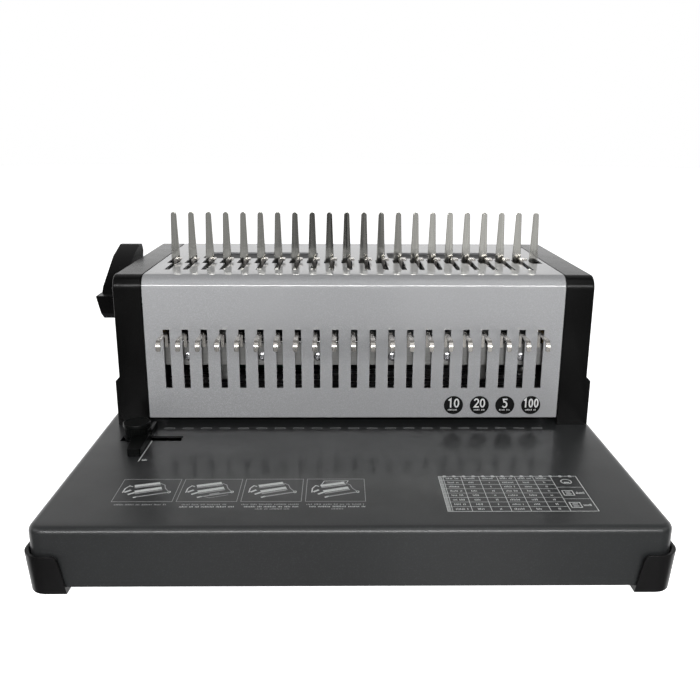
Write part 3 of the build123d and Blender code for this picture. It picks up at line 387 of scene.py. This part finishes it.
class Ink:
    """Printed shapes gathered on one plane and made into one thin closed mesh."""

    def __init__(self, origin, right, up):
        self.origin, self.right, self.up = Vector(origin), Vector(right), Vector(up)
        self.normal = self.right.cross(self.up)
        self.work = bmesh.new()

    def at(self, point, lift):
        """The place of a point given in millimetres, lifted off the plane."""
        u, v = point
        return self.origin + self.right * mm(u) + self.up * mm(v) + self.normal * lift

    def slab(self, left, right, closed):
        """A strip between two rows of points, with walls all round."""
        top = [[self.work.verts.new(self.at(p, PRINT_THICK)) for p in row] for row in (left, right)]
        low = [[self.work.verts.new(self.at(p, 0)) for p in row] for row in (left, right)]
        count = len(left)
        for k in range(count if closed else count - 1):
            n = (k + 1) % count
            self.work.faces.new((top[0][k], top[0][n], top[1][n], top[1][k]))
            self.work.faces.new((low[0][k], low[1][k], low[1][n], low[0][n]))
            self.work.faces.new((low[0][k], low[0][n], top[0][n], top[0][k]))
            self.work.faces.new((top[1][k], top[1][n], low[1][n], low[1][k]))
        if not closed:
            for k in (0, count - 1):
                self.work.faces.new((low[0][k], top[0][k], top[1][k], low[1][k]))

    def stroke(self, points, width, closed=False):
        """A line of a given width through points in millimetres, mitred at its corners."""
        points = [Vector(p) for p in points]
        count, left, right = len(points), [], []
        for k, p in enumerate(points):
            before = p - points[k - 1] if closed or k else points[1] - p
            after = points[(k + 1) % count] - p if closed or k < count - 1 else before
            before, after = before.normalized(), after.normalized()
            side = Vector((-before.y - after.y, before.x + after.x)).normalized()
            reach = width / 2 / max(0.35, side.dot(Vector((-before.y, before.x))))
            left.append(p + side * reach)
            right.append(p - side * reach)
        self.slab(left, right, closed)

    def bar(self, u0, u1, v0, v1):
        """A filled rectangle."""
        self.slab([(u0, v0), (u1, v0)], [(u0, v1), (u1, v1)], False)

    def disc(self, centre, radius, segments):
        """A flat disc, made as a ring with a pinhole."""
        rows = []
        for r in (radius, radius * 0.02):
            angles = [2 * math.pi * k / segments for k in range(segments)]
            rows.append([(centre[0] + r * math.cos(a), centre[1] + r * math.sin(a)) for a in angles])
        self.slab(rows[0], rows[1], True)

    def text_bars(self, u, v, width, height, draw, fill=0.55):
        """Small upright bars in groups that stand for words or numbers and can't be read."""
        end, letters = u + width, draw.randint(4, 8)
        while u < end - 0.5:
            step = draw.uniform(0.65, 1.15)
            tall = height * draw.choice((1.0, 0.9, 0.66, 0.72))
            self.bar(u, min(end, u + step * fill), v, v + tall)
            u += step
            letters -= 1
            if letters == 0:
                u += WORD_GAP
                letters = draw.randint(3, 9)

    def build(self, name, material):
        mesh = bpy.data.meshes.new(name)
        bmesh.ops.recalc_face_normals(self.work, faces=self.work.faces)
        self.work.to_mesh(mesh)
        self.work.free()
        mesh.materials.append(material)
        obj = bpy.data.objects.new(name, mesh)
        bpy.context.scene.collection.objects.link(obj)
        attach(obj, "chassis")


def arc(centre, radius, start, end, steps, squash=1.0):
    """Points of an arc in degrees; squash scales its height."""
    angles = [math.radians(start + (end - start) * k / steps) for k in range(steps + 1)]
    return [(centre[0] + radius * math.cos(a), centre[1] + radius * squash * math.sin(a)) for a in angles]


# ---------------------------------------------------------------- prints on the tray
def tray_ink():
    """Ink on the tray's top, in millimetres to the right of the comb row's middle and behind the panel."""
    return Ink((MIDDLE_X, PANEL_Y, TRAY_TOP), (1, 0, 0), (0, 1, 0))


BOX_W, BOX_STEP, BOX_LEFT = 37.6, 40.2, -153.0
BOX_BACK, BOX_FRONT = -100.0, -132.5


def machine_sketch(light, mid, u, v, kind):
    """A small generic drawing: two rollers on a base, a lever at the left and what is done at this step."""
    light.stroke([(u + 9.0, v + 22.2), (u + 24.5, v + 26.8)], 3.0)
    mid.stroke([(u + 9.6, v + 19.6), (u + 25.6, v + 24.2)], 1.2)
    light.stroke([(u + 11.0, v + 13.9), (u + 27.0, v + 19.6)], 3.2)
    mid.stroke([(u + 11.8, v + 11.2), (u + 28.0, v + 16.9)], 1.2)
    mid.stroke([(u + 13.7, v + 6.6), (u + 32.6, v + 13.2)], 1.3)
    light.stroke(arc((u + 33.0, v + 13.4), 0.8, 0, 360, 10, 1.6)[:-1], 0.6, True)
    lever = [(u + 3.6, v + 12.6), (u + 3.8, v + 18.6), (u + 5.8, v + 22.6), (u + 8.0, v + 21.4)]
    light.stroke(lever, 0.8)
    light.stroke([(u + 4.6, v + 13.2), (u + 8.0, v + 16.4)], 1.6)
    light.stroke([(u + 7.6, v + 10.0), (u + 11.2, v + 12.8)], 1.6)
    light.stroke([(u + 12.0, v + 5.6), (u + 14.6, v + 7.2)], 1.5)
    handle = [(u + 24.8, v + 26.4), (u + 28.2, v + 23.8), (u + 29.6, v + 18.8), (u + 32.6, v + 14.0)]
    mid.stroke(handle, 0.6)
    if kind == 1:
        mid.stroke([(u + 16, v + 7.0), (u + 20, v + 5.2), (u + 31, v + 9.4)], 0.4)
        mid.stroke([(u + 19, v + 10.0), (u + 25, v + 12.2)], 1.0)
    if kind == 2:
        mid.stroke([(u + 12, v + 10.4), (u + 27, v + 15.8)], 0.5)
    if kind == 3:
        sheet = [(u + 9.6, v + 24.2), (u + 11.2, v + 29.4), (u + 27.0, v + 29.8), (u + 26.0, v + 26.6)]
        light.stroke(sheet, 0.5)
        mid.stroke([(u + 12, v + 26.4), (u + 25, v + 28.6)], 0.4)


def print_pictograms():
    """Four outlined boxes, each with a small sketch and an unreadable caption."""
    light, mid, draw = tray_ink(), tray_ink(), random.Random(7)
    captions = ((32,), (29, 34), (36, 35, 21), (36, 35, 8))
    for k, widths in enumerate(captions):
        u = BOX_LEFT + BOX_STEP * k
        frame_line = [(u, BOX_FRONT), (u + BOX_W, BOX_FRONT), (u + BOX_W, BOX_BACK), (u, BOX_BACK)]
        mid.stroke(frame_line, 0.4, True)
        machine_sketch(light, mid, u, BOX_FRONT, k)
        for line, width in enumerate(widths):
            out = light if line == 1 else mid
            left = u + (BOX_W - width) / 2 + (1.5 if line else 0)
            out.text_bars(left, BOX_FRONT - 4.8 - 3.0 * line, width, 1.7, draw)
    light.build("tray_print_pictograms", LOOKS["white_ink"])
    mid.build("tray_print_captions", LOOKS["mid_ink"])


TABLE_U0, TABLE_U1, TABLE_V0, TABLE_V1 = 55.0, 147.2, -146.3, -96.2
TABLE_ROWS, TABLE_COLUMNS, TABLE_TEXT_W = 8, 6, 72.0
TABLE_MARGIN, SCALE_MARKS, TABLE_DOTS = 3.0, 40, 14


def print_table():
    """A ruled table with a row of dots along its back edge and three icons at its right."""
    out, draw = tray_ink(), random.Random(11)
    left = TABLE_U0 + TABLE_MARGIN
    right = left + TABLE_TEXT_W
    outline = [(TABLE_U0, TABLE_V0), (TABLE_U1, TABLE_V0), (TABLE_U1, TABLE_V1), (TABLE_U0, TABLE_V1)]
    out.stroke(outline, 0.5, True)
    for k in range(SCALE_MARKS):
        v = TABLE_V0 + k * (TABLE_V1 - TABLE_V0) / SCALE_MARKS
        out.bar(TABLE_U0 + 0.4, TABLE_U0 + 2.2, v, v + 0.6)
    row_h = (TABLE_V1 - TABLE_V0) / TABLE_ROWS
    column_w = TABLE_TEXT_W / TABLE_COLUMNS
    for row in range(1, TABLE_ROWS):
        v = TABLE_V0 + row * row_h
        out.stroke([(TABLE_U0, v), (right, v)], 0.28)
    for column in range(TABLE_COLUMNS + 1):
        u = left + column * column_w
        out.stroke([(u, TABLE_V0), (u, TABLE_V1)], 0.4)
    for row in range(TABLE_ROWS):
        for column in range(TABLE_COLUMNS):
            width = (7.8, 4.6, 1.6)[column % 3] if row < TABLE_ROWS - 1 else 8.6
            u = left + (column + 0.5) * column_w - width / 2
            out.text_bars(u, TABLE_V0 + row * row_h + 2.1, width, 2.3, draw, 0.5)
    for k in range(TABLE_DOTS):
        u = TABLE_U0 + 4 + k * (TABLE_U1 - TABLE_U0 - 8) / (TABLE_DOTS - 1)
        out.disc((u, TABLE_V1), 1.35, 16)
    third = (TABLE_V1 - TABLE_V0) / 3
    middle = (right + TABLE_U1) / 2
    for k in (1, 2):
        out.stroke([(right, TABLE_V0 + third * k), (TABLE_U1, TABLE_V0 + third * k)], 0.3)
    top = TABLE_V1 - third / 2
    out.stroke(arc((middle, top), 3.4, 0, 360, 24)[:-1], 0.6, True)
    out.stroke([(middle - 1.8, top - 1.2), (middle + 1.8, top - 1.2)], 1.2)
    for k in (0, 1):
        v = TABLE_V0 + third * k + third / 2
        icon = [(middle - 6.5, v - 3.4), (middle, v - 3.4), (middle, v + 3.4), (middle - 6.5, v + 3.4)]
        out.stroke(icon, 0.6, True)
        out.stroke([(middle - 5, v - 1.5), (middle - 1.5, v - 1.5)], 1.0)
        out.stroke([(middle - 5, v + 1.2), (middle - 1.5, v + 1.2)], 1.0)
        out.text_bars(middle + 1.6, v - 1.4, 6.5, 2.8, draw)
    out.build("tray_print_table", LOOKS["white_ink"])


def print_edge_mark():
    """The line that shows where the sheet's edge goes, with a short unreadable mark."""
    out = tray_ink()
    out.stroke([(-151.5, -70.0), (-150.4, -33.0)], 0.7)
    out.text_bars(-149.6, -69.4, 4.0, 2.4, random.Random(3), 0.7)
    out.build("tray_print_edge_mark", LOOKS["white_ink"])


def print_hole_marks():
    """One rounded outline in front of each punch place."""
    out = tray_ink()
    half_w, half_d, line_v = 4.0, 1.25, -7.5
    for i in range(RINGS):
        u = (ring_x(i) - MIDDLE_X) * 1000
        left = arc((u - half_w + half_d, line_v), half_d, 90, 270, 6)
        right = arc((u + half_w - half_d, line_v), half_d, -90, 90, 6)
        out.stroke(right + left, 0.4, True)
    out.build("tray_print_hole_marks", LOOKS["mid_ink"])


# ---------------------------------------------------------------- prints on the silver panel
DISC_U = (78.0, 98.3, 118.3, 138.7)
DISC_V, DISC_R = 10.1, 7.5
FIGURE_H, FIGURE_GAP, FIGURE_BOLD = 7.4, 0.6, 1.08


def digit(out, figure, u, v, w, h):
    """One plain stroke figure with its lower left corner at (u, v), w wide and h high."""
    bold = FIGURE_BOLD
    if figure == "0":
        loop = arc((u + w / 2, v + h / 2), w / 2 - bold / 2, 0, 360, 24, (h - bold) / (w - bold))
        out.stroke(loop[:-1], bold, True)
    if figure == "1":
        out.stroke([(u + w * 0.15, v + h * 0.78), (u + w * 0.55, v + h * 0.97), (u + w * 0.55, v)], bold)
    if figure == "2":
        top = arc((u + w / 2, v + h * 0.71), w / 2 - bold / 2, 165, -35, 12, 1.15)
        out.stroke(top + [(u + bold * 0.6, v + bold / 2), (u + w, v + bold / 2)], bold)
    if figure == "5":
        bowl = arc((u + w * 0.44, v + h * 0.33), w * 0.42, 105, -150, 14, 1.25)
        start = [(u + w * 0.95, v + h - bold / 2), (u + w * 0.2, v + h - bold / 2)]
        out.stroke(start + bowl, bold)


def print_discs():
    """Four black discs with plain figures."""
    plane = ((MIDDLE_X, PANEL_Y, PANEL_BOTTOM), (1, 0, 0), (0, 0, 1))
    black, white = Ink(*plane), Ink(*plane)
    white.origin += white.normal * PRINT_THICK
    draw = random.Random(5)
    for u, figures in zip(DISC_U, ("10", "20", "5", "100")):
        black.disc((u, DISC_V), DISC_R, 72)
        w = 4.2 if len(figures) < 3 else 3.6
        step = w + FIGURE_GAP
        start = u - step * len(figures) / 2 + FIGURE_GAP / 2
        for k, figure in enumerate(figures):
            digit(white, figure, start + step * k, DISC_V - 2.0, w, FIGURE_H)
        white.text_bars(u - 4.2, DISC_V - 4.4, 8.4, 1.2, draw)
    black.build("panel_discs", LOOKS["black_ink"])
    white.build("panel_disc_figures", LOOKS["disc_ink"])


# ---------------------------------------------------------------- small parts with more shape
def centre_of(low, high):
    """The middle of a box."""
    return (low + high) / 2


def islands(node):
    """Boxes (low, high) of the separate solids in one CAD node."""
    mesh = NODES[node].data
    work = bmesh.new()
    work.from_mesh(mesh)
    bmesh.ops.remove_doubles(work, verts=work.verts, dist=1e-7)
    seen, boxes = set(), []
    for start in work.verts:
        if start in seen:
            continue
        stack, points = [start], []
        seen.add(start)
        while stack:
            v = stack.pop()
            points.append(v.co.copy())
            for e in v.link_edges:
                other = e.other_vert(v)
                if other not in seen:
                    seen.add(other)
                    stack.append(other)
        low = Vector(min(p[a] for p in points) for a in range(3))
        high = Vector(max(p[a] for p in points) for a in range(3))
        boxes.append((low, high))
    work.free()
    return sorted(boxes, key=lambda b: (round(b[0].x, 5), round(b[0].z, 5)))


def cross_recess(radius, depth):
    """A point mover that sinks a cross into a screw head."""
    arm, wide = radius * 0.62, radius * 0.17

    def shape(p):
        across, along = min(abs(p.x), abs(p.y)), max(abs(p.x), abs(p.y))
        inside = min(1.0, max(0.0, (wide - across) / (wide * 0.35)))
        inside = min(inside, max(0.0, (arm - along) / (arm * 0.25)))
        return Vector((p.x, p.y, p.z - depth * inside)) if p.z > 0 else p

    return shape


def pan_head(work, place, radius, height):
    """Pan head with a crowned top, a soft rim and a cross recess."""
    rim, rounds = height * 0.55, 14
    profile = [(radius, 0.0), (radius, rim * 0.6)]
    for a in (0.4, 0.8, 1.2, math.pi / 2):
        profile.append((radius - height * 0.3 * (1 - math.cos(a)), rim * 0.6 + rim * 0.5 * math.sin(a)))
    flat, shoulder = profile[-1]
    for k in range(1, rounds + 1):
        r = flat * (1 - k / rounds)
        profile.append((r, height - (height - shoulder) * (r / flat) ** 2))
    lathe(work, place, profile, 64, cross_recess(radius, height * 0.6))


# Each cross stands at its own angle, in radians, as hand-driven screws do.
SCREW_TURN, SCREW_TURN_PER_METRE = 0.5, 40


def screw_heads(name, node, axis, radius, height, length, body):
    """Detailed screws, head towards axis, that stand for the plain screws of a CAD node."""
    axis = Vector(axis)
    shank_r, tip_r, tip = mm(1.9), mm(1.4), mm(0.6)

    def build(work):
        for low, high in islands(node):
            middle = centre_of(low, high)
            reach = abs((high - low).dot(axis)) / 2
            top = middle + axis * reach
            driven = SCREW_TURN + middle.x * SCREW_TURN_PER_METRE
            place = facing(top - axis * height, axis) @ Matrix.Rotation(driven, 4, "Z")
            pan_head(work, place, radius, height)
            shank = [(0, -length), (tip_r, -length), (shank_r, -length + tip), (shank_r, 0), (0, 0)]
            lathe(work, place, shank, 20)

    obj = new_object(name, build, LOOKS["screw"], body)
    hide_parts(node)


RIBS, RIB_DEPTH, KNOB_SEGMENTS = 28, 0.02, 168


def fancy_knob():
    """Clamp knob: a ribbed rim under a shallow dished cap, with its stub below."""
    low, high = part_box("edge_knob")
    middle = centre_of(low, high)
    radius = (high.x - low.x) / 2
    recess, stub_r = mm(3.2), mm(2.45)
    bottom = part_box("edge_guide")[1].z - recess
    height = high.z - bottom
    profile = [
        (0, low.z - bottom), (stub_r, low.z - bottom), (stub_r, 0), (radius * 0.80, 0),
        (radius * 0.86, mm(0.5)), (radius * 0.92, height * 0.45),
        (radius * 0.95, height * 0.62), (radius * 0.94, height * 0.70),
        (radius, height * 0.76), (radius, height - mm(0.6)),
        (radius - mm(0.25), height - mm(0.15)), (radius - mm(0.7), height),
        (radius - mm(1.1), height - mm(0.15)), (radius - mm(1.5), height - mm(0.5)),
        (radius * 0.5, height - mm(0.6)), (0, height - mm(0.6)),
    ]

    def ribs(p):
        """Wave the side of the knob below its rim."""
        r = math.hypot(p.x, p.y)
        if not (mm(0.4) < p.z < height * 0.65 and r > radius * 0.85):
            return p
        wave = 1 - RIB_DEPTH * (0.5 - 0.5 * math.cos(RIBS * math.atan2(p.y, p.x)))
        return Vector((p.x * wave, p.y * wave, p.z))

    place = Matrix.Translation((middle.x, middle.y, bottom))

    def build(work):
        lathe(work, place, profile, KNOB_SEGMENTS, ribs)

    obj = new_object("edge_knob_cap", build, LOOKS["knob"], "edge_stop_knob")
    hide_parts("edge_knob")


def fancy_button():
    """Round push button with a dished face."""
    low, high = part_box("punch_button")
    middle = centre_of(low, high)
    radius, depth = (high.y - low.y) / 2, high.x - low.x
    profile = [
        (0, 0), (radius, 0), (radius, depth - mm(1.0)), (radius - mm(0.3), depth - mm(0.3)),
        (radius - mm(1.0), depth), (radius * 0.7, depth - mm(0.45)),
        (radius * 0.35, depth - mm(0.75)), (0, depth - mm(0.85)),
    ]
    place = facing((low.x, middle.y, middle.z), (1, 0, 0))

    def build(work):
        lathe(work, place, profile, 64)

    obj = new_object("punch_button_cap", build, LOOKS["button"], "button")
    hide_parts("punch_button")


# ---------------------------------------------------------------- stage, light and camera
FLOOR_RADIUS, FLOOR_GLOW = 6.0, 0.85


def make_stage():
    """A round pale floor that reflections don't show."""
    floor = bpy.data.meshes.new("floor")
    work = bmesh.new()
    bmesh.ops.create_circle(work, cap_ends=True, radius=FLOOR_RADIUS, segments=96)
    work.to_mesh(floor)
    work.free()
    look = Look("floor_pale", (0.90, 0.90, 0.90), 0.75)
    look.tint(look.noise(0.5, 2.0), (0.88, 0.88, 0.88))
    look.shader.inputs["Emission Color"].default_value = (1, 1, 1, 1)
    look.shader.inputs["Emission Strength"].default_value = FLOOR_GLOW
    floor.materials.append(look.mat)
    obj = bpy.data.objects.new("floor", floor)
    bpy.context.scene.collection.objects.link(obj)
    obj.visible_glossy = False


# Name, position, target, width and height in metres, and power in watts.
LAMPS = (
    ("front_strip", (0.0, -1.3, 0.70), (0, 0, 0.12), (1.7, 0.15), 18),
    ("key", (0.1, -0.7, 1.6), (0, 0, 0.1), (1.6, 1.1), 3),
    ("left_fill", (-1.4, -0.6, 0.9), (0, 0, 0.1), (0.8, 0.8), 3),
    ("right_fill", (1.4, -0.6, 0.9), (0, 0, 0.1), (0.8, 0.8), 2),
)


def soft_light(name, position, target, size, power):
    """A rectangular lamp of a width and height in metres, facing a target."""
    data = bpy.data.lights.new(name, "AREA")
    data.shape, data.size, data.size_y = "RECTANGLE", size[0], size[1]
    data.energy = power
    obj = bpy.data.objects.new(name, data)
    bpy.context.scene.collection.objects.link(obj)
    obj.location = position
    obj.rotation_euler = (Vector(target) - Vector(position)).to_track_quat("-Z", "Y").to_euler()


# Strength of the world's light to the right, to the left, far out on both sides, low behind and above.
RIGHT_LIGHT, LEFT_LIGHT, OUTER_LIGHT, BAND_LIGHT, UPPER_LIGHT = 0.85, 0.42, 0.12, 1.15, 0.44


def make_world():
    """White to the camera. As light: a bright band low behind, dark in front with lighter sides."""
    world = bpy.data.worlds.new("studio")
    bpy.context.scene.world = world
    world.use_nodes = True
    tree = world.node_tree
    tree.nodes.clear()
    coords = tree.nodes.new("ShaderNodeTexCoord")
    split = tree.nodes.new("ShaderNodeSeparateXYZ")
    tree.links.new(coords.outputs["Generated"], split.inputs[0])

    def ramp(axis, start, end, low, high):
        """A smooth step from low to high along one axis of the view direction."""
        made = tree.nodes.new("ShaderNodeMapRange")
        made.interpolation_type = "SMOOTHSTEP"
        tree.links.new(split.outputs[axis], made.inputs["Value"])
        limits = {"From Min": start, "From Max": end, "To Min": low, "To Max": high}
        for socket, value in limits.items():
            made.inputs[socket].default_value = value
        return made.outputs[0]

    def combine(operation, first, second):
        made = tree.nodes.new("ShaderNodeMath")
        made.operation = operation
        tree.links.new(first, made.inputs[0])
        tree.links.new(second, made.inputs[1])
        return made.outputs[0]

    right = ramp("X", 0.045, 0.10, 0.0, RIGHT_LIGHT)
    right = combine("MULTIPLY", right, ramp("X", 0.24, 0.32, 1.0, OUTER_LIGHT))
    left = ramp("X", -0.09, -0.04, LEFT_LIGHT, 0.0)
    left = combine("MULTIPLY", left, ramp("X", -0.32, -0.24, OUTER_LIGHT, 1.0))
    sides = combine("ADD", right, left)
    front = combine("MULTIPLY", sides, ramp("Y", -0.30, 0.0, 1.0, 0.0))
    height = ramp("Z", 0.20, 0.42, BAND_LIGHT, UPPER_LIGHT)
    band = combine("MULTIPLY", ramp("Y", -0.10, 0.40, 0.0, 1.0), height)
    strength = combine("ADD", front, band)
    light, seen = tree.nodes.new("ShaderNodeBackground"), tree.nodes.new("ShaderNodeBackground")
    tree.links.new(strength, light.inputs["Strength"])
    light.inputs["Color"].default_value = (1.0, 1.0, 1.0, 1)
    seen.inputs["Color"].default_value = (1.0, 1.0, 1.0, 1)
    path = tree.nodes.new("ShaderNodeLightPath")
    mix, out = tree.nodes.new("ShaderNodeMixShader"), tree.nodes.new("ShaderNodeOutputWorld")
    tree.links.new(path.outputs["Is Camera Ray"], mix.inputs[0])
    tree.links.new(light.outputs[0], mix.inputs[1])
    tree.links.new(seen.outputs[0], mix.inputs[2])
    tree.links.new(mix.outputs[0], out.inputs["Surface"])


# Lens and sensor in millimetres, place in metres, angles in degrees.
LENS, SENSOR = 40.28, 36.0
CAMERA_PLACE = (-0.00448, -0.5839, 0.26439)
YAW, PITCH_DOWN, ROLL = 0.786, 15.598, 0.248


def make_camera():
    """A view from in front of the tray and above it, looking down a little."""
    data = bpy.data.cameras.new("camera")
    data.lens, data.sensor_width = LENS, SENSOR
    data.clip_start, data.clip_end = 0.01, 50.0
    obj = bpy.data.objects.new("camera", data)
    bpy.context.scene.collection.objects.link(obj)
    yaw, pitch, roll = math.radians(YAW), math.radians(PITCH_DOWN), math.radians(ROLL)
    ahead = Vector((math.sin(yaw) * math.cos(pitch), math.cos(yaw) * math.cos(pitch), -math.sin(pitch)))
    level = Vector((math.cos(yaw), -math.sin(yaw), 0))
    upright = level.cross(ahead)
    right = level * math.cos(roll) + upright * math.sin(roll)
    up = upright * math.cos(roll) - level * math.sin(roll)
    turn = Matrix((right, up, -ahead)).transposed().to_4x4()
    obj.matrix_world = Matrix.Translation(CAMERA_PLACE) @ turn
    bpy.context.scene.camera = obj


# ---------------------------------------------------------------- build
dress_frame()
print_pictograms()
print_table()
print_edge_mark()
print_hole_marks()
print_discs()
fancy_knob()
fancy_button()
screw_heads("rear_pan_screws", "rear_cover_screws", (0, 1, 0), mm(3.4), mm(1.6), mm(5.9), "chassis")
screw_heads("base_pan_screws", "foot_screws", (0, 0, -1), mm(3.8), mm(1.8), mm(5.9), "chassis")
screw_heads(
    "hook_pan_screws", "front_hook_screws", (0, -1, 0), mm(3.2), mm(1.4), mm(4.9), "front_hook_carriage"
)
make_stage()
make_world()
for lamp in LAMPS:
    soft_light(*lamp)
make_camera()
bpy.context.scene.view_settings.view_transform = "Standard"
